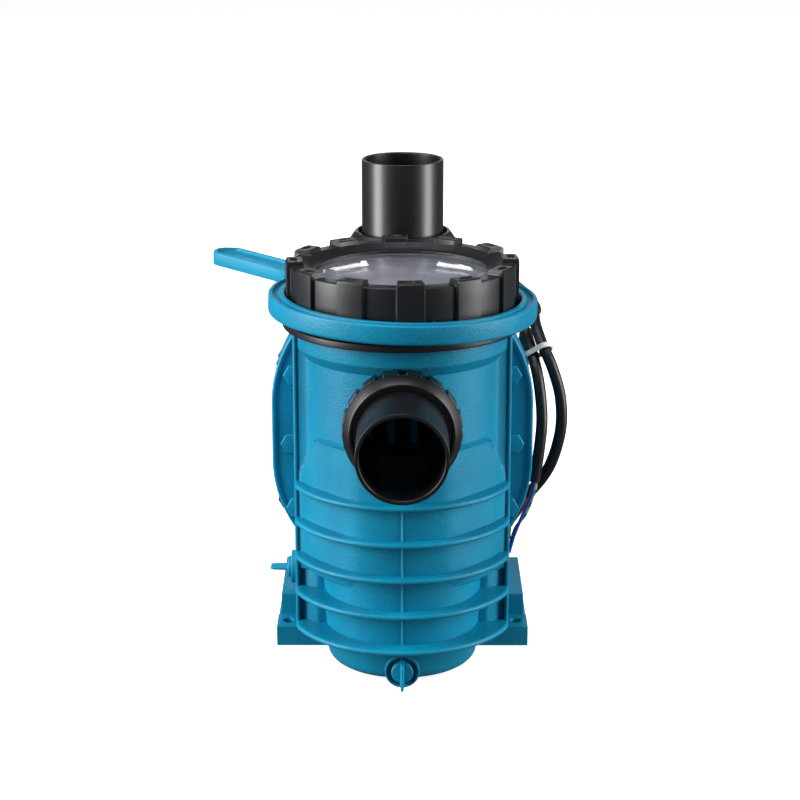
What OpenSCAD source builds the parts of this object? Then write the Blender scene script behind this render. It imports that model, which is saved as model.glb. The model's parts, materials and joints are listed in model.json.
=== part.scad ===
// Swimming-pool pump with a built-in strainer pot, 63 mm pipe tails and a finned motor.
// Modelled standing on its base. +X is to the right, +Y points from the pot towards the motor.

/* [Pot] */
// Radius of the upper pot wall
pot_r = 71.5; // [69:0.5:73]
// Radius of the narrow lower pot
pot_low_r = 57.5; // [55:0.5:60]
// Thickness of the moulded walls
wall = 5; // [4:0.5:6]
// Radius of the stiffening ribs
rib_r = 83.6; // [81:0.2:85]
// Thickness of a stiffening rib
rib_t = 4; // [3:0.5:5]
// Half the width over the side plates
plate_x = 78; // [77:0.5:79]
// Height of the seat that the lid seal lies on
neck_top = 284; // [282:1:285]

/* [Lid] */
// Outer radius of the lid ring over its lobes
lobe_r = 83.4; // [82:0.2:83.6]
// Number of lobes around the lid ring
lobe_count = 12; // [8:1:14]
// Height of the top of the lid ring
ring_top = 301; // [299:0.5:303]
// Outer radius of the wrench's ring
wrench_r = 96.2; // [95:0.2:98]
// Reach of the wrench's handle from the lid's centre
wrench_reach = 203; // [170:1:215]
// Direction of the wrench's handle, in degrees from +X
wrench_angle = 135; // [125:1:180]
// How far the wrench lies askew, in degrees
wrench_tilt = 1.6; // [0:0.1:1.6]

/* [Pipes] */
// Outer radius of the pipe tails
pipe_r = 31.5; // [30:0.1:31.5]
// Height of the suction pipe's axis
suction_z = 198; // [194:1:200]
// Length of the suction tail beyond its nut
suction_len = 77; // [60:1:120]
// Length of the discharge tail beyond its nut
discharge_len = 79.5; // [60:0.5:120]

/* [Pump end] */
// Height of the shaft's axis
shaft_z = 150; // [148:1:152]
// Radius of the end arcs of the flanges
flange_r = 99; // [97:0.5:100]
// Radius of the rear casing
volute_r = 82; // [80:0.5:84]
// Radius of the impeller
impeller_r = 52; // [46:0.5:53]

/* [Motor] */
// Outer radius of the motor's tube
motor_r = 66; // [65:0.5:67]
// Radius over the cooling fins
fin_r = 74; // [72:0.5:76]
// Angle between neighbouring fins
fin_step = 10; // [10:5:15]

/* [Base] */
// Half the width of the base
base_x = 94.5; // [92:0.5:98]
// Distance between the mounting holes across the pump
bolt_dx = 172; // [170:0.5:174]
// Distance between the mounting holes along the pump
bolt_dy = 272; // [272:1:276]
// Radius of a mounting hole
bolt_hole_r = 4.5; // [3.5:0.1:5]

/* [Cord] */
// Diameter of the power cord
cord_d = 9; // [7:0.5:9]
// Diameter of one insulated core
core_d = 2.6; // [2:0.2:2.8]

/* [Hidden] */
$fn = 96;

// Lengths along the pump, measured from the discharge pipe's axis.
pot_y = -140;
hole_y = pot_y + 23;
frame_shift = -(hole_y + bolt_dy / 2);
flange_front = -77;
joint_front = -65;
joint_back = -63;
flange_back = -50;
chamber_back = 24;
volute_back = 42;
shield_y = 50;
frame_y = 66;
frame_end = 205;
core_y = 90;
core_end = 180;
coil_len = 17;
cover_y = 214;
cover_end = 268;

// Heights of the pot.
pot_floor = 3;
lean = 14;
step_z = 66;
front_z = 76;
front_top = 166;
front_r = 77;
flat_angle = 48;
flat_reach = 73.4;
panel_z = 168;
collar_z = 234;
collar_flat = 241;
neck_z = 253;
collar_r = 78;
neck_r = 74;
rib_tops = [34, 61, 88, 114.6, 142];
plate_z = 31.5;
shoulder_top = 222;
cavity_r = 62;
mouth_r = 66;
ledge_z = 240;
flange_low = 130;
flange_high = 174.5;
flange_top = 249;

// Places of the flange bolts, as [x, z].
flange_spots = [
    for (s = [-1, 1]) each [[s * 88, 96], [s * 89, 150], [s * 88, 204], [s * 62, 232], [s * 45, 55]]
];

// Union threads: spigot radius, bore and the heights inside a union nut.
spigot_r = 38;
spigot_bore = 28;
nut_len = 24;
seat_len = 14;
suction_nut_y = -213;
discharge_nut_z = 268.5;

// Drains.
front_drain_z = 13;
front_drain_y = -210;
side_drain = [-84, pot_y + 35, 54];
drain_hole_r = 5;

// Lid stack.
seal_t = 3;
lens_z = neck_top + seal_t;
lens_t = 4;
slip_t = 1.9;
lip_z = lens_z + lens_t + slip_t + 0.1;
band_top = 258.6;
wrench_in_r = 84.6;
wrench_h = 14;

// Motor bearings, each as [inner radius, pitch radius, outer radius, ball radius, start, width].
front_bearing = [10, 16.75, 23.5, 3.95, 52, 14];
rear_bearing = [8.5, 14.25, 20, 3.3, 207, 12];

// Terminal box on the motor.
box_x = 40;
box_y = 68;
box_end = 148;
box_z = 216;
box_top = 244;
gland_at = [box_x, 110, 232];

// Route of the power cord from the gland to the cut end of its jacket.
cord_route = [
    [62, 110, 232], [70.5, 109.5, 231.2], [84.5, 106, 228], [97, 97, 223],
    [105.5, 82, 216.5], [108.5, 64, 213.5],
    [105.5, 42, 216], [104.5, 20, 221], [103, -1, 224], [103.5, -19, 220.5],
    [107.5, -34, 210],
    [115, -44, 194], [121.5, -48, 171], [122, -48, 144], [114.5, -45, 115],
    [102, -35, 92], [95, -10, 77], [94, 18, 79], [94, 38, 99], [95, 45, 132], [96, 42, 168],
    [97, 30, 194], [97, 9, 209], [97.5, -15, 209.5], [101, -36, 199.5], [105, -50, 181],
    [107, -57, 156], [105, -58, 130], [102, -58, 107]
];
tie_gap = 11;
core_routes = [
    [[100.8, -56.8, 109], [98.8, -57, 97], [92, -57, 82], [84, -58, 70], [83, -60, 60]],
    [[103.6, -56.8, 109], [102.2, -56, 97], [96, -57, 80], [88, -58, 68], [84, -57, 54]],
    [[102.2, -59.6, 109], [100, -61, 96], [93, -62, 80], [87, -62, 64], [83, -64, 50]]
];

module place() translate([0, frame_shift, 0]) children();

// A round bar along Y on a given axis.
module bar_y(y0, y1, r, x = 0, z = shaft_z)
    translate([x, y0, z]) rotate([-90, 0, 0]) cylinder(r = r, h = y1 - y0);

// A round tube along Y on a given axis.
module tube_y(y0, y1, r_in, r_out, x = 0, z = shaft_z) difference() {
    bar_y(y0, y1, r_out, x, z);
    bar_y(y0 - 1, y1 + 1, r_in, x, z);
}

module tube_z(z0, z1, r_in, r_out) translate([0, 0, z0]) difference() {
    cylinder(r = r_out, h = z1 - z0);
    translate([0, 0, -1]) cylinder(r = r_in, h = z1 - z0 + 2);
}

module hex_y(y0, y1, across, x, z)
    translate([x, y0, z]) rotate([-90, 0, 0]) cylinder(r = across / sqrt(3), h = y1 - y0, $fn = 6);

// Turns a flat outline in x and z into a plate from y0 to y1.
module plate_y(y0, y1) translate([0, y1, 0]) rotate([90, 0, 0]) linear_extrude(y1 - y0) children();

module at_pot() translate([0, pot_y, 0]) children();

module around_shaft(count, first = 0)
    for (i = [0 : count - 1])
        translate([0, 0, shaft_z]) rotate([0, first + i * 360 / count, 0]) translate([0, 0, -shaft_z])
            children();

// A point on the closed curve through the route's points, and the swept tube itself.
function mix(p, i, t) =
    let (a = p[max(i - 1, 0)], b = p[i], c = p[i + 1], d = p[min(i + 2, len(p) - 1)])
    0.5 * (2 * b + (c - a) * t + (2 * a - 5 * b + 4 * c - d) * t * t
        + (3 * b - a - 3 * c + d) * t * t * t);
function unit(v) = v / norm(v);
function sweep_points(route, steps) = [
    for (i = [0 : len(route) - 2]) for (k = [0 : steps - 1]) mix(route, i, k / steps),
    route[len(route) - 1]
];
function ring_at(path, i, r, sides) =
    let (
        along = unit(path[min(i + 1, len(path) - 1)] - path[max(i - 1, 0)]),
        side = unit(cross(along, abs(along[1]) > 0.9 ? [1, 0, 0] : [0, 1, 0])),
        up = cross(side, along)
    )
    [for (k = [0 : sides - 1]) path[i] + r * (cos(360 * k / sides) * side + sin(360 * k / sides) * up)];

module swept_tube(route, d, steps, sides) {
    path = sweep_points(route, steps);
    last = len(path) - 1;
    points = [for (i = [0 : last]) each ring_at(path, i, d / 2, sides)];
    walls = [
        for (i = [0 : last - 1]) for (k = [0 : sides - 1])
            let (a = i * sides + k, b = i * sides + (k + 1) % sides)
            each [[a, b, b + sides], [a, b + sides, a + sides]]
    ];
    start_cap = [for (k = [sides - 1 : -1 : 0]) k];
    end_cap = [for (k = [0 : sides - 1]) last * sides + k];
    polyhedron(points, concat([start_cap], walls, [end_cap]));
}

// Outline of both flanges and of the gasket between them, grown by a margin at its round sides
// and by a reach at its flat ends.
module flange_outline(margin = 0, reach = 0) intersection() {
    union() {
        for (z = [flange_low, flange_high]) translate([0, z]) circle(r = flange_r + margin);
        translate([-flange_r - margin, flange_low])
            square([2 * (flange_r + margin), flange_high - flange_low]);
    }
    translate([-flange_r, plate_z - reach]) square([2 * flange_r, flange_top - plate_z + 2 * reach]);
}

module front_casing() color("#0a8fb8") place() difference() {
    union() {
        difference() {
            at_pot() pot_shell();
            bar_y(suction_nut_y - seat_len, suction_nut_y + 0.5, 43, 0, suction_z);
            translate([-plate_x, joint_front, collar_z]) cube([2 * plate_x, 10, neck_z - collar_z]);
        }
        translate([-plate_x + 4, pot_y - 22, 72])
            cube([2 * plate_x - 8, flange_front - pot_y + 22, shoulder_top - 72]);
        for (s = [-1, 1]) translate([s < 0 ? -plate_x : plate_x - 5, pot_y - 28, plate_z])
            cube([5, flange_front - pot_y + 28, flange_top - plate_z]);
        plate_y(flange_front, joint_front) flange_outline();
        plate_y(flange_front - 1.5, flange_front) difference() {
            flange_outline();
            flange_outline(-4, 1);
        }
        for (p = flange_spots) hex_y(flange_front - 4, flange_front + 1, 17, p[0], p[1]);
        translate([-plate_x, pot_y + 36, plate_z]) cube([2 * plate_x, joint_front - pot_y - 36, 6]);
        bar_y(suction_nut_y - seat_len, pot_y - 50, spigot_r, 0, suction_z);
        bar_y(front_drain_y, pot_y - 48, 12.5, 0, front_drain_z);
        translate(side_drain) rotate([0, 90, 0]) cylinder(r = 12.5, h = 40);
    }
    at_pot() {
        translate([0, 0, pot_floor + wall]) cylinder(r = pot_low_r - 2.5 - wall, h = ledge_z);
        translate([0, 0, step_z + wall]) cylinder(r = cavity_r - 4, h = ledge_z);
        translate([0, 0, panel_z - 40]) cylinder(r = cavity_r, h = ledge_z);
        translate([0, 0, ledge_z]) cylinder(r = mouth_r, h = 60);
    }
    translate([-58, pot_y, 80]) cube([116, flange_front - 6 - pot_y, shoulder_top - 88]);
    bar_y(flange_front - 20, joint_front + 1, 36);
    bar_y(suction_nut_y - seat_len - 1, pot_y - 45, spigot_bore, 0, suction_z);
    bar_y(front_drain_y - 1, front_drain_y + 4, 10.8, 0, front_drain_z);
    bar_y(front_drain_y, pot_y - 40, drain_hole_r, 0, front_drain_z);
    translate(side_drain) rotate([0, 90, 0]) {
        translate([0, 0, -1]) cylinder(r = 10.8, h = 5);
        cylinder(r = drain_hole_r, h = 60);
    }
    for (p = flange_spots) {
        bar_y(flange_front + 1, joint_front + 1, 4.3, p[0], p[1]);
        hex_y(joint_front - 7, joint_front + 1, 13.4, p[0], p[1]);
    }
    for (s = [-1, 1]) translate([s * 55, joint_front - 14, plate_z - 1]) cylinder(r = 2.5, h = 14);
}

// Outside of the strainer pot with its ribs, collar and neck. Its front leans forward.
module pot_shell() {
    translate([0, 0, pot_floor]) cylinder(r1 = pot_low_r - 2.5, r2 = pot_low_r, h = step_z - pot_floor);
    translate([0, -lean, pot_floor]) cylinder(r1 = pot_low_r - 10, r2 = pot_low_r - 4, h = 10);
    translate([0, -lean, pot_floor + 10])
        cylinder(r1 = pot_low_r - 4, r2 = pot_low_r + 3, h = step_z + 6 - pot_floor);
    intersection() {
        translate([0, 0, front_z]) cylinder(r = front_r, h = front_top - front_z);
        translate([-plate_x + 4, -front_r, front_z]) cube([2 * plate_x - 8, front_r, front_top - front_z]);
        for_both_flats();
    }
    translate([0, 0, step_z]) cylinder(r1 = pot_low_r + 5, r2 = pot_r - 1.5, h = panel_z - step_z);
    translate([0, 0, panel_z]) cylinder(r = pot_r, h = collar_z - panel_z);
    translate([0, 0, collar_z]) cylinder(r1 = pot_r, r2 = collar_r, h = collar_flat - collar_z);
    translate([0, 0, collar_flat]) cylinder(r = collar_r, h = neck_z - collar_flat);
    translate([0, 0, neck_z]) cylinder(r = neck_r, h = neck_top - neck_z);
    for (top = rib_tops) casing_rib(top);
}

// The space in front of the pot's axis between its two slanting flats.
module for_both_flats() intersection_for(s = [-1, 1])
    rotate([0, 0, s * flat_angle]) translate([-150, -flat_reach, 0]) cube([300, 220, 300]);

module casing_rib(top) translate([0, 0, top - rib_t]) intersection() {
    cylinder(r = rib_r, h = rib_t);
    translate([-plate_x, -rib_r, 0]) cube([2 * plate_x, rib_r + 30, rib_t]);
}

module rear_casing() color("#0a86ad") place() difference() {
    union() {
        plate_y(joint_back, flange_back) flange_outline();
        bar_y(flange_back - 1, chamber_back + 12, volute_r);
        bar_y(chamber_back, volute_back, volute_r - 5.5);
        cylinder_z(0, 0, shaft_z + 50, discharge_nut_z + seat_len, spigot_r);
        cylinder_z(0, 0, shaft_z + 60, discharge_nut_z - 14, spigot_r + 3);
        translate([-62, joint_back, plate_z]) cube([124, 38, 46]);
        around_shaft(4, 22.5) bar_y(chamber_back - 8, volute_back, 9, 0, shaft_z + 76);
    }
    bar_y(joint_back - 1, chamber_back, volute_r - 6);
    bar_y(chamber_back - 1, 32, 19);
    bar_y(30, volute_back + 1, 11);
    cylinder_z(0, 0, shaft_z + 40, discharge_nut_z + 20, spigot_bore);
    for (p = flange_spots) {
        bar_y(joint_back - 1, flange_back + 1, 4.3, p[0], p[1]);
        bar_y(flange_back, flange_back + 30, 8.2, p[0], p[1]);
    }
    around_shaft(4, 22.5) bar_y(28, volute_back + 1, 3.1, 0, shaft_z + 76);
    for (s = [-1, 1]) translate([s * 50, joint_back + 20, plate_z - 1]) cylinder(r = 2.5, h = 14);
    for (s = [-1, 1]) translate([s < 0 ? -58 : 8, joint_back + 14, plate_z + 16]) cube([50, 40, 12]);
}

module cylinder_z(x, y, z0, z1, r) translate([x, y, z0]) cylinder(r = r, h = z1 - z0);

module casing_gasket() color("#222222") place() difference() {
    plate_y(joint_front, joint_back) flange_outline();
    bar_y(joint_front - 1, joint_back + 1, volute_r - 6);
    for (p = flange_spots) bar_y(joint_front - 1, joint_back + 1, 4.3, p[0], p[1]);
}

// Outline of the base seen from above: wide at both ends and narrow under the motor.
module base_outline() {
    translate([-base_x, pot_y + 10]) square([2 * base_x, 106]);
    translate([-60, -30]) square([120, 200]);
    translate([-base_x, hole_y + bolt_dy - 16]) square([2 * base_x, 34]);
}

module pump_base() color("#0b86ac") place() difference() {
    union() {
        linear_extrude(12) base_outline();
        translate([-base_x, pot_y + 10, 0]) cube([2 * base_x, 25, 15]);
        translate([-base_x + 2.5, pot_y + 35, 0]) cube([2 * base_x - 5, 81, plate_z]);
        translate([-40, 95, 0]) cube([80, 40, 62]);
    }
    translate([0, pot_y, -1]) cylinder(r = 59, h = 40);
    base_pockets(pot_y + 40, 3, 22, plate_z - 5, 78);
    base_pockets(-18, 4, 22, 8, 48);
    base_pockets(100, 1, 30, 57, 30);
    for (x = [-0.5, 0.5]) for (j = [0, 1]) translate([x * bolt_dx, hole_y + j * bolt_dy, -1])
        cylinder(r = bolt_hole_r, h = 40);
    for (s = [-1, 1]) {
        screw_way(s * 55, joint_front - 14, plate_z - 5);
        screw_way(s * 50, joint_back + 20, plate_z - 5);
        screw_way(s * 25, 115, 57);
    }
}

// Two rows of hollow cells under the base, divided by webs.
module base_pockets(first_y, count, len_y, height, half_x)
    for (i = [0 : count - 1]) for (s = [-1, 1])
        translate([s < 0 ? -half_x : 3, first_y + i * (len_y + 3), -1])
            cube([half_x - 3, len_y, height + 1]);

// A stepped hole up through the base for a screw.
module screw_way(x, y, seat) translate([x, y, -1]) {
    cylinder(r = 6, h = seat + 1);
    cylinder(r = 2.8, h = seat + 12);
}

module pan_screw(shank_r, len, head_r, head_h) {
    cylinder(r = shank_r, h = len);
    difference() {
        translate([0, 0, -head_h]) cylinder(r = head_r, h = head_h);
        translate([-head_r * 0.6, -0.5, -head_h - 1]) cube([head_r * 1.2, 1, 1.8]);
        translate([-0.5, -head_r * 0.6, -head_h - 1]) cube([1, head_r * 1.2, 1.8]);
    }
}

module base_screws() color("silver") place() for (s = [-1, 1]) {
    translate([s * 55, joint_front - 14, plate_z - 5]) pan_screw(2.45, 16, 5, 3);
    translate([s * 50, joint_back + 20, plate_z - 5]) pan_screw(2.45, 16, 5, 3);
    translate([s * 25, 115, 57]) pan_screw(2.45, 16, 5, 3);
}

module flange_bolts() color("silver") place() for (p = flange_spots) {
    bar_y(flange_front + 2, flange_back, 3.95, p[0], p[1]);
    hex_y(flange_back, flange_back + 5, 13, p[0], p[1]);
}

module flange_nuts() color("silver") place() for (p = flange_spots) difference() {
    hex_y(joint_front - 6.6, joint_front - 0.1, 13, p[0], p[1]);
    bar_y(joint_front - 8, joint_front + 1, 4, p[0], p[1]);
}

// One curved blade as a flat outline, from an inner to an outer radius.
module blade(r0, r1, sweep, thick) {
    steps = 6;
    side = function(shift, i)
        let (t = i / steps, r = r0 + (r1 - r0) * t, a = sweep * t + shift / r * 180 / PI)
        [r * cos(a), r * sin(a)];
    polygon([for (i = [0 : steps]) side(0, i), for (i = [steps : -1 : 0]) side(thick, i)]);
}

module blades_y(y0, y1, count, r0, r1, sweep, thick)
    translate([0, y0, shaft_z]) rotate([-90, 0, 0]) for (i = [0 : count - 1]) rotate(i * 360 / count)
        linear_extrude(y1 - y0) blade(r0, r1, sweep, thick);

module diffuser() color("#1c1c1e") place() {
    tube_y(-34, -30, 26.9, volute_r - 6.4);
    tube_y(flange_front - 1, -34, 27, 32);
    blades_y(-30, -2, 9, 57, volute_r - 7, 50, 2.5);
}

module diffuser_seal() color("#151515") place() tube_y(-74, -70, 32, 36);

module impeller() color("#2a2a2c") place() {
    tube_y(-8, -4, 11, impeller_r);
    tube_y(-28, -24, 24, impeller_r);
    tube_y(-33.5, -28, 24, 26.6);
    tube_y(-12, 6, 8.02, 12);
    blades_y(-24, -8, 7, 14, impeller_r - 0.5, -70, 2.2);
}

module impeller_screw() color("silver") place() {
    hex_y(-17, -12, 10, 0, shaft_z);
    bar_y(-12, 6, 2.95);
}

module seal_head() color("#404044") place() {
    tube_y(6, 10, 8.05, 15);
    tube_y(10, 19, 8.05, 12.5);
    tube_y(19, 23.9, 8.05, 14.5);
}

module seal_seat() color("ivory") place() tube_y(24, 31.9, 11, 18.9);

module slinger() color("#151515") place() {
    tube_y(44, 46, 8.02, 20);
    tube_y(46, 48.5, 8.02, 12);
}

module shaft() color("silver") place() difference() {
    union() {
        bar_y(-12, 49, 8);
        bar_y(49, 67, 9.98);
        bar_y(67, 206, 11);
        bar_y(206, 224, 8.48);
        bar_y(224, 262, 7);
    }
    bar_y(-13, 8, 3);
}

module rotor_core() color("#8a8d90") place() {
    tube_y(core_y, core_end, 11.02, 35.4);
    tube_y(core_y - 8, core_y, 20, 34);
    tube_y(core_end, core_end + 8, 20, 34);
}

module stator_core() color("#6f7276") place() difference() {
    tube_y(core_y, core_end, 36, motor_r - 4.1);
    around_shaft(24) translate([-1.4, core_y - 1, shaft_z + 30]) cube([2.8, core_end - core_y + 2, 20]);
}

module stator_winding() color("#b5652a") place() for (y = [core_y - coil_len - 0.1, core_end + 0.1])
    translate([0, y, shaft_z]) rotate([-90, 0, 0]) rotate_extrude() union() {
        translate([38, 4]) square([20, coil_len - 8]);
        translate([42, 0]) square([12, coil_len]);
    }

module motor_frame() color("#1d5f7a") place() difference() {
    union() {
        bar_y(frame_y, frame_end, motor_r);
        for (a = [0 : fin_step : 355]) if (fin_here(a))
            translate([0, 0, shaft_z]) rotate([0, a, 0]) translate([-1.2, frame_y + 3, motor_r - 2])
                cube([2.4, frame_end - frame_y - 6, fin_r - motor_r + 2]);
        translate([-box_x + 8, box_y + 4, shaft_z + 52])
            cube([2 * box_x - 16, box_end - box_y - 8, box_z - shaft_z - 52]);
        translate([-38, 97, 62]) cube([76, 36, 40]);
    }
    bar_y(frame_y - 1, frame_end + 1, motor_r - 4);
    for (s = [-1, 1]) translate([s * 25, 115, 61]) cylinder(r = 2.5, h = 13);
    translate([-10, 90, shaft_z + 55]) cube([20, 30, 30]);
}

// Fins stand all round, but not under the terminal box, over the foot or beside a tie rod.
function fin_here(a) =
    !(a < 36 || a > 324 || (a > 140 && a < 220)) && min([for (r = [45 : 90 : 315]) abs(a - r)]) > 6;

module shield_lugs(y0, y1) around_shaft(4, 45) {
    bar_y(y0, y1, 6, 0, shaft_z + 68);
    translate([-6, y0, shaft_z + 58]) cube([12, y1 - y0, 10]);
}

module motor_front_shield() color("#b9bdc0") place() difference() {
    union() {
        bar_y(shield_y, frame_y, motor_r);
        bar_y(frame_y - 1, frame_y + 4, motor_r - 4.1);
        shield_lugs(frame_y - 9, frame_y);
        around_shaft(4, 22.5) {
            bar_y(volute_back, shield_y + 8, 8, 0, shaft_z + 76);
            translate([-7, shield_y, shaft_z + 55]) cube([14, 8, 22]);
        }
    }
    bar_y(shield_y - 1, frame_y + 5, 12);
    bar_y(front_bearing[4], frame_y + 5, front_bearing[2] + 0.02);
    bar_y(frame_y - 8, frame_y + 5, 26);
    difference() {
        bar_y(frame_y - 8, frame_y + 5, motor_r - 8);
        bar_y(frame_y - 9, frame_y + 6, 27);
    }
    around_shaft(4, 45) {
        bar_y(frame_y - 10, frame_y + 1, 2.7, 0, shaft_z + 69);
        bar_y(shield_y - 1, frame_y - 9, 6.2, 0, shaft_z + 69);
    }
    around_shaft(4, 22.5) bar_y(volute_back - 1, shield_y + 9, 3.3, 0, shaft_z + 76);
}

module motor_rear_shield() color("#b9bdc0") place() difference() {
    union() {
        bar_y(frame_end, frame_end + 15, motor_r);
        bar_y(frame_end - 4, frame_end + 1, motor_r - 4.1);
        shield_lugs(frame_end, frame_end + 9);
        around_shaft(3) translate([-5, frame_end + 9, shaft_z + 55]) cube([10, 6, motor_r - 46.2]);
    }
    bar_y(frame_end - 5, frame_end + 16, 10);
    bar_y(frame_end - 5, rear_bearing[4] + rear_bearing[5], rear_bearing[2] + 0.02);
    difference() {
        bar_y(frame_end - 5, frame_end + 9, motor_r - 8);
        bar_y(frame_end - 6, frame_end + 10, 24);
    }
    around_shaft(4, 45) {
        bar_y(frame_end - 1, frame_end + 10, 2.7, 0, shaft_z + 69);
        bar_y(frame_end + 9, frame_end + 16, 6.2, 0, shaft_z + 69);
    }
    around_shaft(3) translate([0, frame_end + 12, shaft_z + motor_r - 7]) cylinder(r = 1.6, h = 18);
}

module motor_bolts() color("silver") place() around_shaft(4, 22.5) {
    bar_y(31, shield_y + 8, 3, 0, shaft_z + 76);
    hex_y(shield_y + 8, shield_y + 12, 10, 0, shaft_z + 76);
}

module tie_rods() color("silver") place() around_shaft(4, 45) {
    bar_y(frame_y - 13, frame_end + 13, 2.5, 0, shaft_z + 69);
    hex_y(frame_y - 13, frame_y - 9, 8, 0, shaft_z + 69);
    hex_y(frame_end + 9, frame_end + 13, 8, 0, shaft_z + 69);
}

// One race of a bearing, turned from a section with its groove cut out.
module race(b, r0, r1) translate([0, b[4], shaft_z]) rotate([-90, 0, 0]) rotate_extrude() difference() {
    translate([r0, 0]) square([r1 - r0, b[5]]);
    translate([b[1], b[5] / 2]) circle(r = b[3] + 0.08);
}

module balls(b) around_shaft(8) translate([0, b[4] + b[5] / 2, shaft_z + b[1]]) sphere(r = b[3], $fn = 32);

module front_bearing_outer() color("silver") place() race(front_bearing, 18.75, 23.5);
module front_bearing_inner() color("silver") place() race(front_bearing, 10, 14.75);
module front_bearing_balls() color("silver") place() balls(front_bearing);
module rear_bearing_outer() color("silver") place() race(rear_bearing, 16, 20);
module rear_bearing_inner() color("silver") place() race(rear_bearing, 8.5, 12.5);
module rear_bearing_balls() color("silver") place() balls(rear_bearing);

module cooling_fan() color("#2b2b2d") place() {
    tube_y(238, 258, 7.02, 12);
    tube_y(238, 240, 11, 34);
    for (i = [0 : 7]) translate([0, 0, shaft_z]) rotate([0, i * 45, 0])
        translate([-1, 238, 11]) cube([2, 19, 47]);
}

module fan_cover() color("#1c1c1e") place() difference() {
    bar_y(cover_y, cover_end, motor_r + 11);
    bar_y(cover_y - 1, cover_end - 2, motor_r + 9);
    for (i = [-5 : 5]) if (i != 0) translate([i * 10 - 2.5, cover_end - 4, shaft_z - cover_slot(i)])
        cube([5, 6, 2 * cover_slot(i)]);
    around_shaft(3) translate([0, frame_end + 12, shaft_z + motor_r]) cylinder(r = 1.8, h = 12);
}

function cover_slot(i) = sqrt(pow(motor_r - 8, 2) - pow(i * 10, 2));

module fan_cover_screws() color("silver") place() around_shaft(3)
    translate([0, frame_end + 12, shaft_z + motor_r + 11.1]) rotate([180, 0, 0])
        pan_screw(1.5, 14, 3.2, 2);

module terminal_box() color("#1c1c1e") place() difference() {
    translate([-box_x, box_y, box_z]) cube([2 * box_x, box_end - box_y, box_top - box_z]);
    translate([-box_x + 3, box_y + 10, box_z + 3]) cube([2 * box_x - 6, box_end - box_y - 20, 40]);
    translate([-box_x + 12, box_y + 3, box_z + 3]) cube([2 * box_x - 24, box_end - box_y - 6, 40]);
    translate([-9, 91, box_z - 1]) cube([18, 26, 6]);
    translate(gland_at - [10, 0, 0]) rotate([0, 90, 0]) cylinder(r = 8, h = 12);
    box_corners() translate([0, 0, box_z + 8]) cylinder(r = 1.6, h = 40);
}

module box_corners()
    for (x = [-box_x + 7, box_x - 7]) for (y = [box_y + 5, box_end - 5]) translate([x, y, 0]) children();

module terminal_box_gasket() color("#151515") place() difference() {
    translate([-box_x, box_y, box_top]) cube([2 * box_x, box_end - box_y, 2]);
    translate([-box_x + 3, box_y + 10, box_top - 1]) cube([2 * box_x - 6, box_end - box_y - 20, 4]);
    translate([-box_x + 12, box_y + 3, box_top - 1]) cube([2 * box_x - 24, box_end - box_y - 6, 4]);
    box_corners() translate([0, 0, box_top - 1]) cylinder(r = 1.8, h = 4);
}

module terminal_box_lid() color("#1c1c1e") place() difference() {
    translate([-box_x, box_y, box_top + 2]) cube([2 * box_x, box_end - box_y, 5]);
    box_corners() translate([0, 0, box_top]) cylinder(r = 1.8, h = 10);
    box_corners() translate([0, 0, box_top + 5]) cylinder(r = 3.6, h = 4);
}

module terminal_box_screws() color("silver") place() box_corners()
    translate([0, 0, box_top + 5]) rotate([180, 0, 0]) pan_screw(1.5, 14, 3.2, 1.8);

module run_capacitor() color("#d8d8d4") place() translate([-18, 0, 0])
    bar_y(box_y + 10.5, box_end - 10.5, 11, 0, box_z + 15);

module cable_gland() color("#161618") place() translate(gland_at) rotate([0, 90, 0]) {
    translate([0, 0, -6]) cylinder(r = 7.9, h = 8);
    cylinder(r = 11, h = 4, $fn = 6);
    translate([0, 0, 4]) cylinder(r = 8.5, h = 3);
    translate([0, 0, 7]) cylinder(r = 10, h = 7, $fn = 6);
    translate([0, 0, 14]) cylinder(r1 = 8.5, r2 = 5.4, h = 8);
}

module power_cord() color("#161618") place() swept_tube(cord_route, cord_d, 3, 10);
module wire_brown() color("#6b3a1e") place() swept_tube(core_routes[0], core_d, 3, 8);
module wire_blue() color("#2346a0") place() swept_tube(core_routes[1], core_d, 3, 8);
module wire_earth() color("#8aa21e") place() swept_tube(core_routes[2], core_d, 3, 8);

// A thin strap around both runs of the cord where they cross.
module cord_tie() color("white") place()
    translate([104.8, -35.4, 204.3]) rotate([-31.8, -33.4, -20.8]) difference() {
        translate([0, 0, -2]) strap_body(cord_d / 2 + 1.9, 4);
        translate([0, 0, -3]) strap_body(cord_d / 2 + 0.9, 6);
    }

module strap_body(r, h) {
    for (s = [-1, 1]) translate([s * tie_gap / 2, 0, 0]) cylinder(r = r, h = h, $fn = 48);
    translate([-tie_gap / 2, -r, 0]) cube([tie_gap, 2 * r, h]);
}

module lid_seal() color("#151515") place() at_pot() tube_z(neck_top, lens_z, mouth_r + 0.5, 72);

module lid_lens() color("#d8e4e8") place() at_pot() union() {
    tube_z(lens_z, lens_z + lens_t, 56, 73);
    intersection() {
        translate([0, 0, lens_z]) cylinder(r = 57, h = 20);
        translate([0, 0, lens_z - 296]) difference() {
            sphere(r = 305.3);
            sphere(r = 301.5);
        }
    }
}

module slip_ring() color("ivory") place() at_pot()
    tube_z(lens_z + lens_t, lens_z + lens_t + slip_t, 67, 73);

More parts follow.
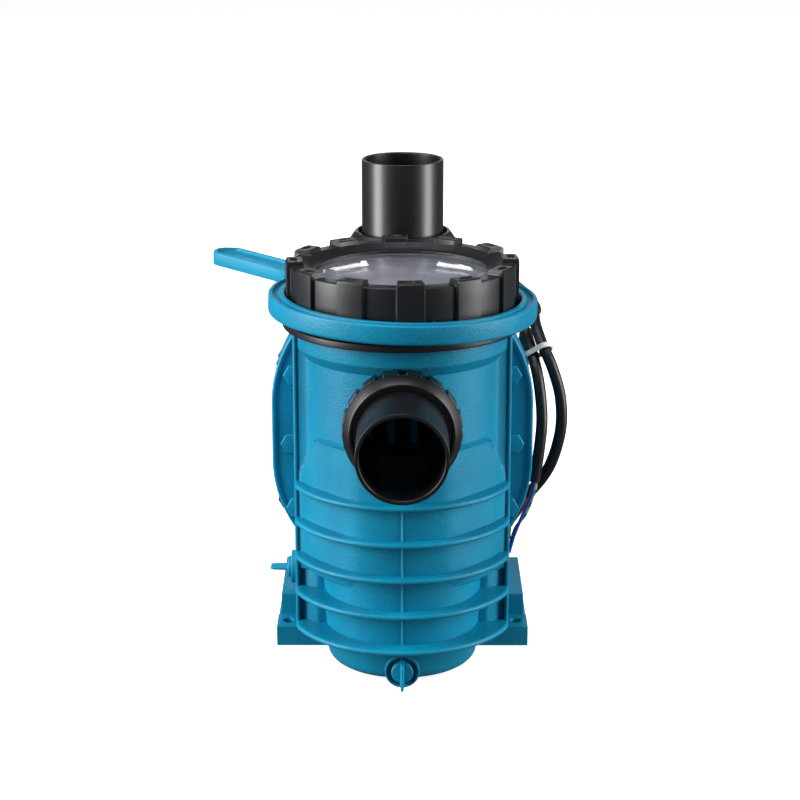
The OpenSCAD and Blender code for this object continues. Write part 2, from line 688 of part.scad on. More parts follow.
module lid_ring() color("#202022") place() at_pot() difference() {
    union() {
        translate([0, 0, 253.5]) cylinder(r = 87.5, h = band_top - 253.5);
        translate([0, 0, band_top]) cylinder(r = lobe_r - 3, h = ring_top - 3.5 - band_top);
        intersection() {
            translate([0, 0, band_top]) cylinder(r = lobe_r, h = ring_top - band_top);
            for (i = [0 : lobe_count - 1]) rotate(-86 + i * 360 / lobe_count)
                translate([72, -10, 262]) cube([20, 20, 60]);
        }
    }
    translate([0, 0, 250]) cylinder(r = neck_r + 0.06, h = lip_z - 250);
    translate([0, 0, lip_z - 1]) cylinder(r = 61, h = 30);
    translate([0, 0, lip_z]) cylinder(r1 = 61, r2 = 70.4, h = ring_top - 3.5 - lip_z);
    translate([0, 0, ring_top - 3.5]) cylinder(r = 70.4, h = 20);
    for (i = [0 : lobe_count - 1]) rotate(-86 + i * 360 / lobe_count) translate([77.5, 0, ring_top - 0.9])
        for (s = [-1, 1]) translate([0, s * 3, 0]) cylinder(r = 2.4, h = 4, $fn = 40);
}

module lid_wrench() color("#0a8fb8") place() at_pot()
    translate([0, 0, band_top + 87.5 * sin(wrench_tilt)]) rotate([0, wrench_tilt, 0]) difference() {
        union() {
            cylinder(r = wrench_r, h = wrench_h);
            rotate(wrench_angle) translate([0, 0, 2]) linear_extrude(10.5)
                handle_outline(13.5, wrench_reach);
        }
        translate([0, 0, -1]) cylinder(r = wrench_in_r, h = wrench_h + 2);
        translate([0, 0, wrench_h - 4]) difference() {
            cylinder(r = wrench_r - 2.5, h = 5);
            translate([0, 0, -1]) cylinder(r = wrench_in_r + 4, h = 7);
        }
        rotate(wrench_angle) translate([0, 0, 9.5]) linear_extrude(5) intersection() {
            handle_outline(10.5, wrench_reach - 3);
            translate([wrench_r + 3, -20]) square([200, 40]);
        }
    }

// Flat outline of the wrench's handle, flared where it meets the ring.
module handle_outline(half_w, reach) difference() {
    union() {
        translate([wrench_r - 4, -half_w]) square([reach - wrench_r + 4 - half_w * 0.8, 2 * half_w]);
        intersection() {
            translate([reach - half_w * 1.25, 0]) circle(r = half_w * 1.25);
            translate([reach - half_w * 2.2, -half_w]) square([half_w * 3, 2 * half_w]);
        }
        translate([wrench_r - 9, -half_w - 14]) square([26, 2 * half_w + 28]);
    }
    for (s = [-1, 1]) translate([wrench_r + 17, s * (half_w + 20)]) circle(r = 20);
}

module strainer_basket() color("#3a3a3c") place() at_pot() difference() {
    union() {
        translate([0, 0, 74]) cylinder(r1 = 54, r2 = 59.5, h = 168.8);
        translate([0, 0, ledge_z + 0.2]) cylinder(r = mouth_r - 0.5, h = 2.6);
    }
    translate([0, 0, 76.5]) cylinder(r1 = 52, r2 = 57.5, h = 168.8);
    for (i = [0 : 19]) rotate(9 + i * 18) for (z = [86, 146])
        translate([45, -3, z]) cube([20, 6, 50]);
    translate([0, -40, suction_z]) rotate([90, 0, 0]) cylinder(r = 27, h = 40);
    for (i = [0 : 5]) rotate(i * 60) translate([26, 0, 70]) cylinder(r = 8, h = 10);
    for (s = [-1, 1]) translate([s < 0 ? -66 : 50, 0, 230]) rotate([0, 90, 0]) cylinder(r = 2, h = 16);
}

module basket_handle() color("#3a3a3c") place() at_pot() translate([0, 0, 230]) {
    difference() {
        translate([0, 0, -1.5]) cylinder(r = 54.5, h = 3);
        translate([0, 0, -3]) cylinder(r = 50.5, h = 6);
        translate([-60, -120, -3]) cube([120, 120, 6]);
    }
    for (s = [-1, 1]) translate([s < 0 ? -58.9 : 50.5, 0, 0]) rotate([0, 90, 0]) cylinder(r = 1.9, h = 8.4);
}

// Union parts stand on the spigot's shoulder, with the pipe pointing up.
module union_seal() tube_z(seat_len, seat_len + 2, spigot_bore + 1, spigot_r - 0.5);

module union_tail(len) difference() {
    union() {
        translate([0, 0, seat_len + 2]) cylinder(r = spigot_r - 0.4, h = 4.9);
        translate([0, 0, seat_len + 2]) cylinder(r = pipe_r, h = len - seat_len - 2);
        translate([0, 0, seat_len + 2]) cylinder(r = pipe_r + 2, h = 10);
    }
    translate([0, 0, seat_len]) cylinder(r = pipe_r - 2.9, h = len);
    translate([0, 0, len - 1.5]) cylinder(r1 = pipe_r - 2.9, r2 = pipe_r - 1.4, h = 1.6);
}

module union_nut() {
    rotate_extrude() polygon([
        [spigot_r + 0.06, 0], [40, 0], [40, 17.5], [38.8, 21.5], [36.8, nut_len], [35.8, nut_len],
        [35.8, seat_len + 7], [spigot_r + 0.06, seat_len + 7]
    ]);
    for (i = [0 : 15]) rotate(i * 22.5) translate([39.5, -2.5, 0.8]) cube([1.7, 5, 15.5]);
}

module at_suction() translate([0, suction_nut_y, suction_z]) rotate([90, 0, 0]) children();
module at_discharge() translate([0, 0, discharge_nut_z]) children();

module suction_seal() color("#151515") place() at_suction() union_seal();
module suction_tail() color("#151517") place() at_suction() union_tail(suction_len);
module suction_nut() color("#151517") place() at_suction() union_nut();
module discharge_seal() color("#151515") place() at_discharge() union_seal();
module discharge_tail() color("#151517") place() at_discharge() union_tail(discharge_len);
module discharge_nut() color("#151517") place() at_discharge() union_nut();

// A winged plug. Its head lies at z = 0 and its wing points up.
module wing_plug() {
    translate([0, 0, -8]) cylinder(r = drain_hole_r - 0.05, h = 9);
    cylinder(r = 8.6, h = 5);
    translate([-1.5, -8, 4]) cube([3, 16, 14]);
}

module plug_seal() tube_z(-1.8, 0, drain_hole_r + 0.2, 8);

module at_front_drain() translate([0, front_drain_y + 2.2, front_drain_z]) rotate([90, 0, 0]) children();
module at_side_drain() translate(side_drain + [2.2, 0, 0]) rotate([0, -90, 0]) rotate(90) children();

module front_drain_plug() color("#0a8fb8") place() at_front_drain() wing_plug();
module side_drain_plug() color("#0a8fb8") place() at_side_drain() rotate(90) wing_plug();
module front_drain_seal() color("#151515") place() at_front_drain() plug_seal();
module side_drain_seal() color("#151515") place() at_side_drain() plug_seal();

front_casing();
rear_casing();
casing_gasket();
pump_base();
base_screws();
flange_bolts();
flange_nuts();
diffuser();
diffuser_seal();
impeller();
impeller_screw();
seal_head();
seal_seat();
slinger();
shaft();
rotor_core();
stator_core();
stator_winding();
motor_frame();
motor_front_shield();
motor_rear_shield();
motor_bolts();
tie_rods();
front_bearing_outer();
front_bearing_inner();
front_bearing_balls();
rear_bearing_outer();
rear_bearing_inner();
rear_bearing_balls();
cooling_fan();
fan_cover();
fan_cover_screws();
terminal_box();
terminal_box_gasket();
terminal_box_lid();
terminal_box_screws();
run_capacitor();
cable_gland();
power_cord();
cord_tie();
wire_brown();
wire_blue();
wire_earth();
lid_seal();
lid_lens();
slip_ring();
lid_ring();
lid_wrench();
strainer_basket();
basket_handle();
suction_seal();
suction_tail();
suction_nut();
discharge_seal();
discharge_tail();
discharge_nut();
front_drain_plug();
side_drain_plug();
front_drain_seal();
side_drain_seal();
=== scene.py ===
"""Swimming-pool pump: the looks of its casing, lid, unions, base, motor and cord.

Shapes are worked out in millimetres in the pump's own frame: y = 0 on the discharge pipe's
axis, z = 0 under the base, and the strainer pot stands at y = POT_Y. new_piece() turns them
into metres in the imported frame.
"""
import json
import math

import bmesh
import bpy
import numpy as np
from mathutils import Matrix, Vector


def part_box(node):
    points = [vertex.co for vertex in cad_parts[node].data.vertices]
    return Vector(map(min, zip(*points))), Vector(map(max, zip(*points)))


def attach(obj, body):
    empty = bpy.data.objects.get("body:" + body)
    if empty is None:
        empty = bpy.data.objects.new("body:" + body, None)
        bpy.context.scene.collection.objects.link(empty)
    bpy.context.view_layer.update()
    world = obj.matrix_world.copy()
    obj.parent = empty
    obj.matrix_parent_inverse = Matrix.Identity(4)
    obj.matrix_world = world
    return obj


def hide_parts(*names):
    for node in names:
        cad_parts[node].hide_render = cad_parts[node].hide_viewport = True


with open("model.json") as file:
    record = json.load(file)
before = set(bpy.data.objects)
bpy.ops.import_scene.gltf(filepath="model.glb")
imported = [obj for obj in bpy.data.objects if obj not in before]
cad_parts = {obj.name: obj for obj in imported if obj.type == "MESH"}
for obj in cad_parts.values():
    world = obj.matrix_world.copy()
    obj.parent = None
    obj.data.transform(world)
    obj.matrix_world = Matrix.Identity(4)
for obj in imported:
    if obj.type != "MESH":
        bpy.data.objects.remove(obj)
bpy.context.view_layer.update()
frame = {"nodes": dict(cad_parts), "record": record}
nodes = frame["nodes"]
scene = bpy.context.scene


def box_mm(node):
    """Lowest and highest corner of a CAD node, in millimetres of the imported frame."""
    low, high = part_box(node)
    return np.array(low) * 1000, np.array(high) * 1000


def middle_mm(node):
    """Middle of a CAD node's box, in the same units and frame."""
    low, high = box_mm(node)
    return (low + high) / 2


# Places that everything else is measured from.
SHIFT_Y = middle_mm("discharge_tail")[1]
POT_Y = middle_mm("lid_lens")[1] - SHIFT_Y
PIPE_R = (box_mm("discharge_tail")[1][0] - box_mm("discharge_tail")[0][0]) / 2 - 6.1
SUCTION_Z = middle_mm("suction_tail")[2]
NUT_BACK_Y = box_mm("suction_nut")[1][1] - SHIFT_Y
NUT_BASE_Z = box_mm("discharge_nut")[0][2]
RING_LOW, RING_HIGH = box_mm("lid_ring")[0][2], box_mm("lid_ring")[1][2]
SEAT_Z = box_mm("lid_seal")[0][2]
FLANGE_Y = box_mm("casing_gasket")[0][1] - SHIFT_Y - 12
PLATE_X = 78
PLATE_LOW, PLATE_HIGH = box_mm("casing_gasket")[0][2], box_mm("casing_gasket")[1][2]
FRONT_DRAIN_Z = middle_mm("front_drain_plug")[2]
_, SIDE_DRAIN_Y, SIDE_DRAIN_Z = middle_mm("side_drain_plug") - [0, SHIFT_Y, 0]


# ---------------------------------------------------------------- camera, floor and light

def look_from(place, target):
    """Rotation that turns a camera or light at place towards target."""
    return (Vector(target) - Vector(place)).to_track_quat("-Z", "Y").to_euler()


def add_camera():
    """A long lens in front of the pump, a little above it."""
    data = bpy.data.cameras.new("studio_camera")
    data.lens = 96.2
    data.sensor_width = 36
    camera = bpy.data.objects.new("studio_camera", data)
    camera.location = (0.0014, (POT_Y + SHIFT_Y - 1488) / 1000, 0.628)
    camera.rotation_euler = (math.radians(90 - 16.2), 0, math.radians(0.12))
    scene.collection.objects.link(camera)
    scene.camera = camera


def add_light(name, place, target, width, height, power):
    """A soft rectangular lamp that the camera doesn't see."""
    data = bpy.data.lights.new(name, "AREA")
    data.shape = "RECTANGLE"
    data.size = width
    data.size_y = height
    data.energy = power
    lamp = bpy.data.objects.new(name, data)
    lamp.location = place
    lamp.rotation_euler = look_from(place, target)
    lamp.visible_camera = False
    scene.collection.objects.link(lamp)


def light_studio():
    """A pale surround, tall soft boxes on the left and right, one above and two behind."""
    world = bpy.data.worlds.new("studio_surround")
    world.use_nodes = True
    background = world.node_tree.nodes["Background"]
    background.inputs["Color"].default_value = (0.95, 0.97, 1.0, 1)
    background.inputs["Strength"].default_value = 0.14
    scene.world = world
    heart = (0, -0.12, 0.17)
    add_light("left_box", (-2.35, -0.75, 0.8), heart, 1.1, 2.4, 135)
    add_light("right_box", (2.35, -0.65, 0.7), heart, 1.0, 2.4, 92)
    add_light("top_box", (-0.3, -0.5, 2.3), heart, 1.5, 1.2, 22)
    lens = (0, -0.15, 0.29)
    add_light("back_left_box", (-0.2, 2.05, 0.62), lens, 0.16, 0.34, 0.9)
    add_light("back_right_box", (0.2, 2.05, 0.62), lens, 0.16, 0.34, 0.9)
    scene.view_settings.view_transform = "Standard"


# ---------------------------------------------------------------- finishes

class Value:
    """One output socket of a finish. Arithmetic on it adds Math nodes to the finish."""

    def __init__(self, finish, socket):
        self.finish = finish
        self.socket = socket

    def __add__(self, other):
        return self.finish.math("ADD", self, other)

    def __sub__(self, other):
        return self.finish.math("SUBTRACT", self, other)

    def __rsub__(self, other):
        return self.finish.math("SUBTRACT", other, self)

    def __mul__(self, other):
        return self.finish.math("MULTIPLY", self, other)

    def __truediv__(self, other):
        return self.finish.math("DIVIDE", self, other)

    __radd__ = __add__
    __rmul__ = __mul__


class Finish:
    """A material with one principled shader and the nodes that vary it over Object coordinates."""

    def __init__(self, name, **constants):
        self.material = bpy.data.materials.new(name)
        self.material.use_nodes = True
        self.nodes = self.material.node_tree.nodes
        self.shader = self.nodes["Principled BSDF"]
        for socket, value in constants.items():
            label = socket.replace("_", " ").title().replace("Ior", "IOR")
            self.shader.inputs[label].default_value = value
        self.place = self.add("ShaderNodeTexCoord", None, None, "Object")

    def add(self, kind, settings=None, inputs=None, output=0):
        """One node: its settings first, then the values or links of its sockets."""
        node = self.nodes.new(kind)
        for name, value in (settings or {}).items():
            setattr(node, name, value)
        for name, value in (inputs or {}).items():
            self.feed(node.inputs[name], value)
        return Value(self, node.outputs[output])

    def feed(self, socket, value):
        """Links a Value to the socket, or sets anything else as its constant."""
        if isinstance(value, Value):
            self.material.node_tree.links.new(value.socket, socket)
        else:
            socket.default_value = value

    def math(self, operation, first, second):
        return self.add("ShaderNodeMath", {"operation": operation}, {0: first, 1: second})

    def noise(self, scale, detail=3.0, roughness=0.55, stretch=(1, 1, 1)):
        """Smooth noise from 0 to 1, with scale in features a metre."""
        where = self.add("ShaderNodeMapping", None, {"Vector": self.place, "Scale": stretch})
        return self.add("ShaderNodeTexNoise", None,
                        {"Vector": where, "Scale": scale, "Detail": detail, "Roughness": roughness})

    def step(self, value, low, high):
        """0 below low, 1 above high and smooth between."""
        return self.add("ShaderNodeMapRange", {"interpolation_type": "SMOOTHSTEP"},
                        {"Value": value, "From Min": low, "From Max": high}, "Result")

    def mix(self, share, first, second):
        """Colour from first to second as share goes from 0 to 1."""
        return self.add("ShaderNodeMix", {"data_type": "RGBA"}, {0: share, 6: first, 7: second}, 2)

    def finish(self, colour, roughness, height=None, depth=0.0002, strength=0.3, alpha=None):
        """Links colour, roughness, a bump height (its depth in metres) and alpha to the shader."""
        self.feed(self.shader.inputs["Base Color"], colour)
        if alpha is not None:
            self.feed(self.shader.inputs["Alpha"], alpha)
        self.feed(self.shader.inputs["Roughness"], roughness)
        if height is not None:
            bump = self.add("ShaderNodeBump", None,
                            {"Height": height, "Distance": depth, "Strength": strength}, "Normal")
            self.feed(self.shader.inputs["Normal"], bump)
        return self.material


def rgb(red, green, blue):
    """A linear colour from display values out of 255."""
    return tuple(math.pow(v / 255, 2.2) for v in (red, green, blue)) + (1,)


def moulded_plastic(name, dark, light, gloss, grain, grain_depth=0.0002, grain_strength=0.25,
                    **constants):
    """Injection-moulded plastic: cloudy tint, fine grain, faint flow streaks and scuffs."""
    make = Finish(name, **constants)
    cloud = make.noise(14, 4)
    speck = make.noise(grain, 2, 0.6)
    streak = make.noise(55, 3, 0.5, (1, 1, 0.25))
    tint = make.step(cloud * 0.55 + speck * 0.3 + streak * 0.15, 0.32, 0.7)
    scuff = make.step(make.noise(160, 6, 0.7), 0.62, 0.78)
    colour = make.mix(scuff * 0.12, make.mix(tint, dark, light), rgb(190, 200, 205))
    roughness = gloss + 0.1 * speck + 0.12 * scuff + 0.06 * cloud
    return make.finish(colour, roughness, speck + 0.15 * streak, grain_depth, grain_strength)


def metal(name, dark, light, gloss, grain=420):
    """Bare metal: drawn or cast grain, darker stains and small polished rubs."""
    make = Finish(name, metallic=1.0)
    lines = make.noise(grain, 4, 0.6)
    stain = make.step(make.noise(38, 5, 0.6), 0.45, 0.75)
    rub = make.step(make.noise(210, 3), 0.6, 0.72)
    colour = make.mix(stain * 0.5, make.mix(lines, dark, light), rgb(96, 92, 88))
    roughness = gloss + 0.16 * stain + 0.08 * lines - 0.08 * rub
    return make.finish(colour, roughness, lines, 0.0002, 0.25)


def soft_rubber(name, dark, light, gloss):
    """Rubber: fine matt grain with dusty patches."""
    make = Finish(name)
    dust = make.step(make.noise(90, 6, 0.65), 0.5, 0.8)
    grain = make.noise(1500, 2)
    colour = make.mix(dust * 0.35, make.mix(grain, dark, light), rgb(92, 92, 92))
    return make.finish(colour, gloss + 0.12 * dust + 0.05 * grain, grain, 0.0001, 0.3)


def clear_cover():
    """Smoky clear cover: it half hides what is under it, with haze and dust."""
    make = Finish("clear_lens", specular_ior_level=0.75)
    haze = make.step(make.noise(70, 5, 0.6), 0.4, 0.8)
    dust = make.step(make.noise(900, 2), 0.62, 0.7)
    colour = make.mix(haze, rgb(150, 149, 160), rgb(176, 175, 186))
    roughness = 0.05 + 0.12 * haze
    alpha = 0.42 + 0.1 * haze + 0.25 * dust
    return make.finish(colour, roughness, haze, 0.0003, 0.1, alpha)


def striped_core():
    """Earth core: yellow with green bands that wind along it."""
    make = Finish("core_green")
    band = make.add("ShaderNodeTexWave", {"bands_direction": "Z"},
                    {"Vector": make.place, "Scale": 34.0, "Distortion": 1.2})
    side = make.step(band, 0.45, 0.55)
    grain = make.noise(900, 2)
    colour = make.mix(side, rgb(186, 190, 26), rgb(36, 122, 52))
    return make.finish(colour, 0.34 + 0.1 * grain, grain, 0.0001, 0.2)


def laminated_steel():
    """A stack of thin steel sheets: fine lines along the motor's axis."""
    make = Finish("laminations", metallic=0.85)
    sheets = make.add("ShaderNodeTexWave", {"bands_direction": "Y"},
                      {"Vector": make.place, "Scale": 320.0})
    grain = make.noise(300, 4)
    colour = make.mix(sheets, rgb(70, 72, 76), rgb(138, 140, 142))
    return make.finish(colour, 0.4 + 0.2 * grain, sheets, 0.0002, 0.4)


def wound_wire():
    """Varnished copper windings: many fine turns."""
    make = Finish("copper", metallic=0.9, coat_weight=0.3)
    turns = make.add("ShaderNodeTexWave", {"bands_direction": "DIAGONAL"},
                     {"Vector": make.place, "Scale": 180.0, "Distortion": 1.5})
    grain = make.noise(240, 3)
    colour = make.mix(turns, rgb(104, 48, 22), rgb(196, 112, 62))
    return make.finish(colour, 0.3 + 0.2 * grain, turns, 0.0006, 0.6)


PLASTICS = {
    "pump_blue": (rgb(0, 116, 150), rgb(0, 140, 175), 0.36, 800, 0.0004, 0.8),
    "gloss_black": (rgb(14, 14, 16), rgb(21, 21, 23), 0.3, 700, 0.0001, 0.08),
    "satin_black": (rgb(17, 18, 22), rgb(27, 28, 33), 0.34, 1300, 0.0002, 0.25),
    "pvc_black": (rgb(13, 13, 15), rgb(21, 21, 23), 0.34, 1100, 0.0001, 0.2),
    "white_nylon": (rgb(214, 216, 214), rgb(238, 239, 236), 0.4, 600),
    "core_brown": (rgb(96, 52, 26), rgb(122, 68, 36), 0.36, 900),
    "core_blue": (rgb(24, 62, 160), rgb(38, 84, 192), 0.36, 900),
    "ceramic_white": (rgb(222, 216, 200), rgb(240, 236, 224), 0.2, 400),
    "motor_paint": (rgb(24, 84, 108), rgb(34, 102, 128), 0.38, 500, 0.0004, 0.35),
}
PLASTIC_CONSTANTS = {
    "pump_blue": {"specular_ior_level": 0.32},
    "gloss_black": {"coat_weight": 0.2, "coat_roughness": 0.22},
    "motor_paint": {"coat_weight": 0.2, "coat_roughness": 0.25},
}
FINISHES = {name: moulded_plastic(name, *values, **PLASTIC_CONSTANTS.get(name, {}))
            for name, values in PLASTICS.items()}
FINISHES.update({
    "steel": metal("steel", rgb(150, 152, 156), rgb(206, 208, 212), 0.24),
    "aluminium_cast": metal("aluminium_cast", rgb(142, 145, 149), rgb(190, 192, 195), 0.4, 520),
    "black_rubber": soft_rubber("black_rubber", rgb(22, 22, 23), rgb(34, 34, 35), 0.66),
    "clear_lens": clear_cover(),
    "core_green": striped_core(),
    "laminations": laminated_steel(),
    "copper": wound_wire(),
})


# ---------------------------------------------------------------- surfaces

def rounded(corners, steps=5, closed=False):
    """Points of an outline whose corners (a, b, radius) are rounded by arcs that touch both sides."""
    count = len(corners)
    found = []
    for i, (a, b, radius) in enumerate(corners):
        here = np.array([a, b], float)
        if radius == 0 or (not closed and i in (0, count - 1)):
            found.append(here[None])
            continue
        back = np.array(corners[i - 1][:2], float) - here
        ahead = np.array(corners[(i + 1) % count][:2], float) - here
        back_len, ahead_len = np.linalg.norm(back), np.linalg.norm(ahead)
        back, ahead = back / back_len, ahead / ahead_len
        half = math.acos(float(np.clip(back @ ahead, -1, 1))) / 2
        reach = min(radius / math.tan(half), 0.49 * back_len, 0.49 * ahead_len)
        radius = reach * math.tan(half)
        hub = here + (back + ahead) / np.linalg.norm(back + ahead) * radius / math.sin(half)
        first, last = here + back * reach - hub, here + ahead * reach - hub
        sweep = math.pi - 2 * half
        share = np.linspace(0, 1, steps + 1)[:, None]
        arc = np.sin((1 - share) * sweep) * first + np.sin(share * sweep) * last
        found.append(hub + arc / math.sin(sweep))
    return np.concatenate(found)


def eased(share):
    """A share from 0 to 1 that starts and ends gently: 3 s^2 - 2 s^3."""
    return share * share * (3 - 2 * share)


def refine(path, longest):
    """The same path with extra points, so that no straight stretch is longer than longest."""
    gaps = np.linalg.norm(np.diff(path, axis=0), axis=1)
    parts = [np.linspace(a, b, max(1, int(math.ceil(g / longest))), endpoint=False)
             for a, b, g in zip(path[:-1], path[1:], gaps)]
    return np.concatenate(parts + [path[-1:]])


def turned(profile, columns=96):
    """A profile of radius and height turned once round the z axis."""
    angle = np.linspace(0, 2 * math.pi, columns, endpoint=False)
    radius, height = profile[:, 0, None], profile[:, 1, None]
    return np.stack([radius * np.cos(angle), radius * np.sin(angle), height + 0 * angle], -1)


def raised(outline, profile, spine=None):
    """A closed outline carried up z: each profile row is an inset from it and a height.

    The first and last rows are closed to spine, one point for each point of the outline,
    which is the outline's middle where none is given.
    """
    along = np.roll(outline, -1, 0) - np.roll(outline, 1, 0)
    outward = np.stack([along[:, 1], -along[:, 0]], -1)
    outward /= np.linalg.norm(outward, axis=1)[:, None] + 1e-12
    area = np.sum(outline[:, 0] * np.roll(outline[:, 1], -1) - outline[:, 1] * np.roll(outline[:, 0], -1))
    outward *= np.sign(area)
    if spine is None:
        spine = np.repeat(outline.mean(0)[None], len(outline), 0)
    inset, height = np.array(profile, float).T
    rows = outline[None] - outward[None] * inset[:, None, None]
    rows = np.concatenate([spine[None], rows, spine[None]])
    height = np.concatenate([height[:1], height, height[-1:]])
    return np.concatenate([rows, np.broadcast_to(height[:, None, None], rows.shape[:2] + (1,))], -1)


def edge_profile(low, high, bottom_round, top_round, steps=4):
    """Inset and height of a plain slab's side, with a quarter round at both edges."""
    turn = np.linspace(0, math.pi / 2, steps + 1)
    bottom = np.stack([bottom_round * (1 - np.sin(turn)), low + bottom_round * (1 - np.cos(turn))], -1)
    top = np.stack([top_round * (1 - np.cos(turn)), high - top_round * (1 - np.sin(turn))], -1)
    return np.concatenate([bottom, top])


def swept(path, radius, sides=16):
    """A round tube along a path, with its rings turned as little as possible between points."""
    along = np.gradient(path, axis=0)
    along /= np.linalg.norm(along, axis=1)[:, None]
    side = np.cross(along, [0.31, 0.2, 0.93])
    side /= np.linalg.norm(side, axis=1)[:, None]
    up = np.cross(side, along)
    angle = np.linspace(0, 2 * math.pi, sides, endpoint=False)[None, :, None]
    rings = path[:, None] + radius * (np.cos(angle) * side[:, None] + np.sin(angle) * up[:, None])
    start, end = (np.repeat(point[None], sides, 1) for point in (path[:1], path[-1:]))
    return np.concatenate([start, rings, end])


def moved(points, origin=(0, 0, 0), x_axis=(1, 0, 0), y_axis=(0, 1, 0), z_axis=(0, 0, 1)):
    """Points in a frame given by its origin and axes, in the pump's frame."""
    return np.array(origin, float) + points @ np.array([x_axis, y_axis, z_axis], float)


def turned_round_z(points, angle):
    """Points turned about the z axis by an angle in radians."""
    cos, sin = math.cos(angle), math.sin(angle)
    return moved(points, (0, 0, 0), (cos, sin, 0), (-sin, cos, 0))


def facing_front(points, y, x=0.0, z=0.0):
    """Points whose own z axis becomes the direction towards the front, -y, from a place."""
    return moved(points, (x, y, z), (1, 0, 0), (0, 0, 1), (0, -1, 0))


def facing_left(points, x, y, z):
    """Points whose own z axis becomes the direction towards the left, -x, from a place."""
    return moved(points, (x, y, z), (0, -1, 0), (0, 0, 1), (-1, 0, 0))


def grid_faces(rows, columns, wrap, first):
    """Quads of a grid whose columns may wrap round."""
    index = first + np.arange(rows * columns).reshape(rows, columns)
    right = np.roll(index, -1, 1)
    if not wrap:
        index, right = index[:, :-1], right[:, :-1]
    return np.stack([index[:-1], right[:-1], right[1:], index[1:]], -1).reshape(-1, 4)


def new_piece(name, sheets, finish, body, replaces=(), keep=None, sharp=32, open_sheets=()):
    """One object from several grids of points. keep, if given, says which faces stay."""
    points, faces, first = [], [], 0
    for number, sheet in enumerate(sheets):
        rows, columns = sheet.shape[:2]
        points.append(sheet.reshape(-1, 3))
        faces.append(grid_faces(rows, columns, number not in open_sheets, first))
        first += rows * columns
    points, faces = np.concatenate(points), np.concatenate(faces)
    if keep is not None:
        faces = faces[keep(points[faces].mean(1))]
    mesh = bpy.data.meshes.new(name)
    mesh.from_pydata(((points + [0, SHIFT_Y, 0]) / 1000).tolist(), [], faces.tolist())
    work = bmesh.new()
    work.from_mesh(mesh)
    bmesh.ops.remove_doubles(work, verts=work.verts, dist=2e-6)
    bmesh.ops.dissolve_degenerate(work, edges=work.edges, dist=1e-6)
    bmesh.ops.delete(work, geom=[v for v in work.verts if not v.link_faces], context="VERTS")
    bmesh.ops.recalc_face_normals(work, faces=work.faces)
    work.to_mesh(mesh)
    work.free()
    mesh.shade_smooth()
    mesh.set_sharp_from_angle(angle=math.radians(sharp))
    piece = bpy.data.objects.new(name, mesh)
    scene.collection.objects.link(piece)
    mesh.materials.append(FINISHES[finish])
    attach(piece, body)
    for node in replaces:
        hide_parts(node)
    return piece


# ---------------------------------------------------------------- cord and cores

CORD_D = 9
CORD_ROUTE = [
    [62, 110, 232], [70.5, 109.5, 231.2], [84.5, 106, 228], [97, 97, 223],
    [105.5, 82, 216.5], [108.5, 64, 213.5],
    [105.5, 42, 216], [104.5, 20, 221], [103, -1, 224], [103.5, -19, 220.5],
    [107.5, -34, 210],
    [115, -44, 194], [121.5, -48, 171], [122, -48, 144], [114.5, -45, 115],
    [102, -35, 92], [95, -10, 77], [94, 18, 79], [94, 38, 99], [95, 45, 132], [96, 42, 168],
    [97, 30, 194], [97, 9, 209], [97.5, -15, 209.5], [101, -36, 199.5], [105, -50, 181],
    [107, -57, 156], [105, -58, 130], [102, -58, 107],
]
CORE_ROUTES = {
    "wire_brown": [[100.8, -56.8, 109], [98.8, -57, 97], [92, -57, 82], [84, -58, 70], [83, -60, 60]],
    "wire_earth": [[103.6, -56.8, 109], [102.2, -56, 97], [96, -57, 80], [88, -58, 68], [84, -57, 54]],
    "wire_blue": [[102.2, -59.6, 109], [100, -61, 96], [93, -62, 80], [87, -62, 64], [83, -64, 50]],
}


def smooth_route(route, steps):
    """Points on the smooth curve through the route's points, each stretch from its four nearest."""
    route = np.array(route, float)
    ends = np.concatenate([route[:1], route, route[-1:]])
    a, b, c, d = ends[:-3, None], ends[1:-2, None], ends[2:-1, None], ends[3:, None]
    t = np.linspace(0, 1, steps, endpoint=False)[None, :, None]
    points = 0.5 * (2 * b + (c - a) * t + (2 * a - 5 * b + 4 * c - d) * t ** 2
                    + (3 * b - a - 3 * c + d) * t ** 3)
    return np.concatenate([points.reshape(-1, 3), route[-1:]])


def make_cord():
    """The power cord as one open curve, and its three cores where the jacket ends."""
    path = (smooth_route(CORD_ROUTE, 8) + [0, SHIFT_Y, 0]) / 1000
    data = bpy.data.curves.new("mains_cord", "CURVE")
    data.dimensions = "3D"
    data.bevel_depth = CORD_D / 2000
    data.bevel_resolution = 5
    data.use_fill_caps = True
    spline = data.splines.new("POLY")
    spline.points.add(len(path) - 1)
    spline.points.foreach_set("co", np.concatenate([path, np.ones((len(path), 1))], 1).ravel())
    spline.use_smooth = True
    cord = bpy.data.objects.new("mains_cord", data)
    scene.collection.objects.link(cord)
    data.materials.append(FINISHES["pvc_black"])
    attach(cord, "root")
    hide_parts("power_cord")
    slots = {"wire_brown": "core_brown", "wire_blue": "core_blue", "wire_earth": "core_green"}
    cores = [new_piece("core_" + node, [swept(smooth_route(route, 8), 1.3)], slots[node], "root", [node])
             for node, route in CORE_ROUTES.items()]


add_camera()
make_cord()


# ---------------------------------------------------------------- front casing

RIB_R = 83.6
RIB_T = 4
RIB_TOPS = [34, 61, 88, 114.6, 142]
FRONT_R = 76.2
PANEL_R = 71.5
STEP_Z = 180.5
COLLAR_Z = 234
FRONT_LOW, FRONT_HIGH = 74, 248
WALL_X = 76
LINE_HEIGHT, LINE_HALF = 0.7, 0.5
HEX_ANGLES = range(0, 360, 60)


def soft_min(a, b, blend):
    """The smaller of two values, with the step between them rounded over blend."""
    share = np.clip(0.5 + 0.5 * (b - a) / blend, 0, 1)
    return b + (a - b) * share - blend * share * (1 - share)


def soft_max(a, b, blend):
    """The larger of two values, rounded in the same way."""
    return -soft_min(-a, -b, blend)


